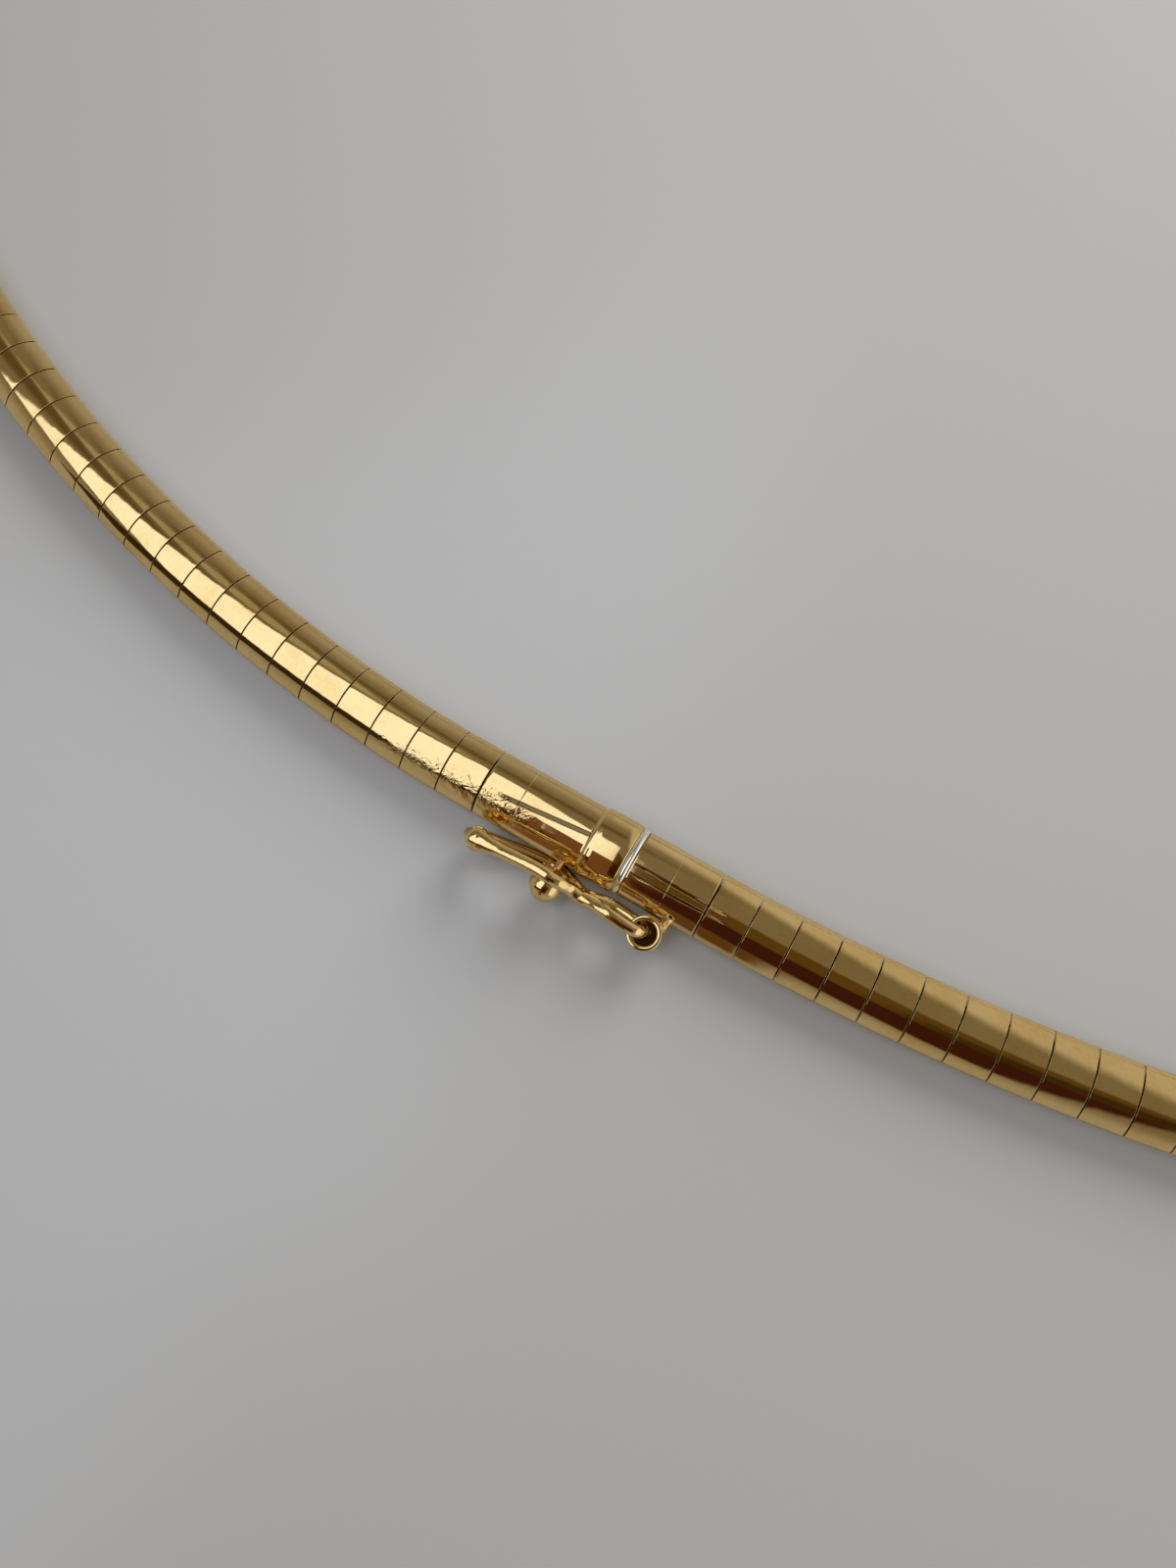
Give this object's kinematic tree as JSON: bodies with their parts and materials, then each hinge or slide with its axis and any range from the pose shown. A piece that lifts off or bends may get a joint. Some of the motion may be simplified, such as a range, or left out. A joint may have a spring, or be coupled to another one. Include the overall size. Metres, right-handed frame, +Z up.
{
  "type": "omega necklace",
  "caption": "Whole loop of polished domed plates on a flat core, closed by a box clasp with a spring tongue, a ball stud and a figure-eight safety catch.",
  "frame": {"origin": "on the table under the middle of the necklace's bounding box", "axes": "+X along the clasp from the box to the end cap, +Y from the clasp to the front of the loop, +Z up from the table through the domed face"},
  "size_m": [0.1518, 0.1144, 0.0034],
  "materials": {
    "plate_gold": "polished yellow gold",
    "core_gold": "satin yellow gold strip",
    "clasp_gold": "polished yellow gold with fine wear scratches",
    "tongue_white_metal": "white metal spring sheet",
    "catch_gold": "polished yellow gold wire"
  },
  "bodies": {
    "necklace": {"plates_left": "plate_gold", "plates_right": "plate_gold", "core": "core_gold", "clasp_box": "clasp_gold", "clasp_end": "clasp_gold", "tongue": "tongue_white_metal"},
    "catch": {"safety_catch": "catch_gold"}
  },
  "joints": [
    {"name": "catch_swing", "type": "hinge", "parent": "necklace", "child": "catch", "pos_m": [0.00539, -0.05577, 0.00172], "axis": [0, 0, 1], "range_deg": [0, 170]}
  ]
}
